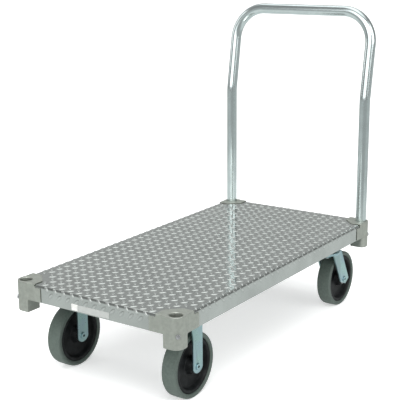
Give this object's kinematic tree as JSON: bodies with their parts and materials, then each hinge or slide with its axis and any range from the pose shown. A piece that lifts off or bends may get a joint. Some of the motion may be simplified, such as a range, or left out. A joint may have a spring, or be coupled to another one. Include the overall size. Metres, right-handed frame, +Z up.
{
  "type": "flatbed platform truck",
  "caption": "Flatbed platform truck with a tread plate deck, cast corner stake pockets, rigid front and swivel rear casters, and a lift-out tubular push handle.",
  "frame": {"origin": "middle of the truck's bounding box in plan, on the floor that the wheels stand on", "axes": "+Z up, +Y towards the push handle end, +X across the deck to the right as seen from the front end"},
  "size_m": [0.621, 1.2721, 1.0912],
  "materials": {
    "aluminium_sheet": "mill finish tread plate",
    "cast_aluminium": "as cast",
    "zinc_steel": "zinc plated",
    "steel": "bright",
    "rubber": "grey moulded tyre",
    "core_plastic": "black moulded core",
    "label": "blank painted plate"
  },
  "bodies": {
    "truck": {"deck_plate": "aluminium_sheet", "front_bolster": "aluminium_sheet", "rear_bolster": "aluminium_sheet", "deck_rib_front": "aluminium_sheet", "deck_rib_middle": "aluminium_sheet", "deck_rib_rear": "aluminium_sheet", "corner_casting_front_left": "cast_aluminium", "corner_casting_front_right": "cast_aluminium", "corner_casting_rear_left": "cast_aluminium", "corner_casting_rear_right": "cast_aluminium", "lock_screws": "steel", "label_plate": "label", "rigid_fork_left": "zinc_steel", "rigid_fork_right": "zinc_steel", "swivel_plate_left": "zinc_steel", "swivel_plate_right": "zinc_steel", "kingpin_left": "steel", "kingpin_right": "steel", "lower_race_left": "steel", "lower_race_right": "steel", "kingpin_nut_left": "steel", "kingpin_nut_right": "steel", "caster_bolts": "steel", "caster_washers": "steel", "caster_nuts": "steel", "axle_front_left": "zinc_steel", "sleeve_front_left": "steel", "thrust_washers_front_left": "steel", "axle_front_right": "zinc_steel", "sleeve_front_right": "steel", "thrust_washers_front_right": "steel"},
    "wheel_front_left": {"tyre_front_left": "rubber", "core_front_left": "core_plastic", "rollers_front_left": "steel"},
    "wheel_front_right": {"tyre_front_right": "rubber", "core_front_right": "core_plastic", "rollers_front_right": "steel"},
    "swivel_left": {"swivel_fork_left": "zinc_steel", "load_balls_left": "steel", "thrust_balls_left": "steel", "axle_rear_left": "zinc_steel", "sleeve_rear_left": "steel", "thrust_washers_rear_left": "steel"},
    "wheel_rear_left": {"tyre_rear_left": "rubber", "core_rear_left": "core_plastic", "rollers_rear_left": "steel"},
    "swivel_right": {"swivel_fork_right": "zinc_steel", "load_balls_right": "steel", "thrust_balls_right": "steel", "axle_rear_right": "zinc_steel", "sleeve_rear_right": "steel", "thrust_washers_rear_right": "steel"},
    "wheel_rear_right": {"tyre_rear_right": "rubber", "core_rear_right": "core_plastic", "rollers_rear_right": "steel"},
    "handle": {"push_handle": "zinc_steel"}
  },
  "joints": [
    {"name": "wheel_front_left_roll", "type": "hinge", "parent": "truck", "child": "wheel_front_left", "pos_m": [-0.222, -0.46758, 0.1016], "axis": [1, 0, 0], "continuous": true},
    {"name": "wheel_front_right_roll", "type": "hinge", "parent": "truck", "child": "wheel_front_right", "pos_m": [0.222, -0.46758, 0.1016], "axis": [1, 0, 0], "continuous": true},
    {"name": "swivel_left_turn", "type": "hinge", "parent": "truck", "child": "swivel_left", "pos_m": [-0.222, 0.42641, 0.215], "axis": [0, 0, 1], "continuous": true},
    {"name": "wheel_rear_left_roll", "type": "hinge", "parent": "swivel_left", "child": "wheel_rear_left", "pos_m": [-0.222, 0.49441, 0.1016], "axis": [1, 0, 0], "continuous": true},
    {"name": "swivel_right_turn", "type": "hinge", "parent": "truck", "child": "swivel_right", "pos_m": [0.222, 0.42641, 0.215], "axis": [0, 0, 1], "continuous": true},
    {"name": "wheel_rear_right_roll", "type": "hinge", "parent": "swivel_right", "child": "wheel_rear_right", "pos_m": [0.222, 0.49441, 0.1016], "axis": [1, 0, 0], "continuous": true},
    {"name": "handle_lift", "type": "slide", "parent": "truck", "child": "handle", "axis": [0, 0, 1], "range_m": [0, 0.095]}
  ]
}
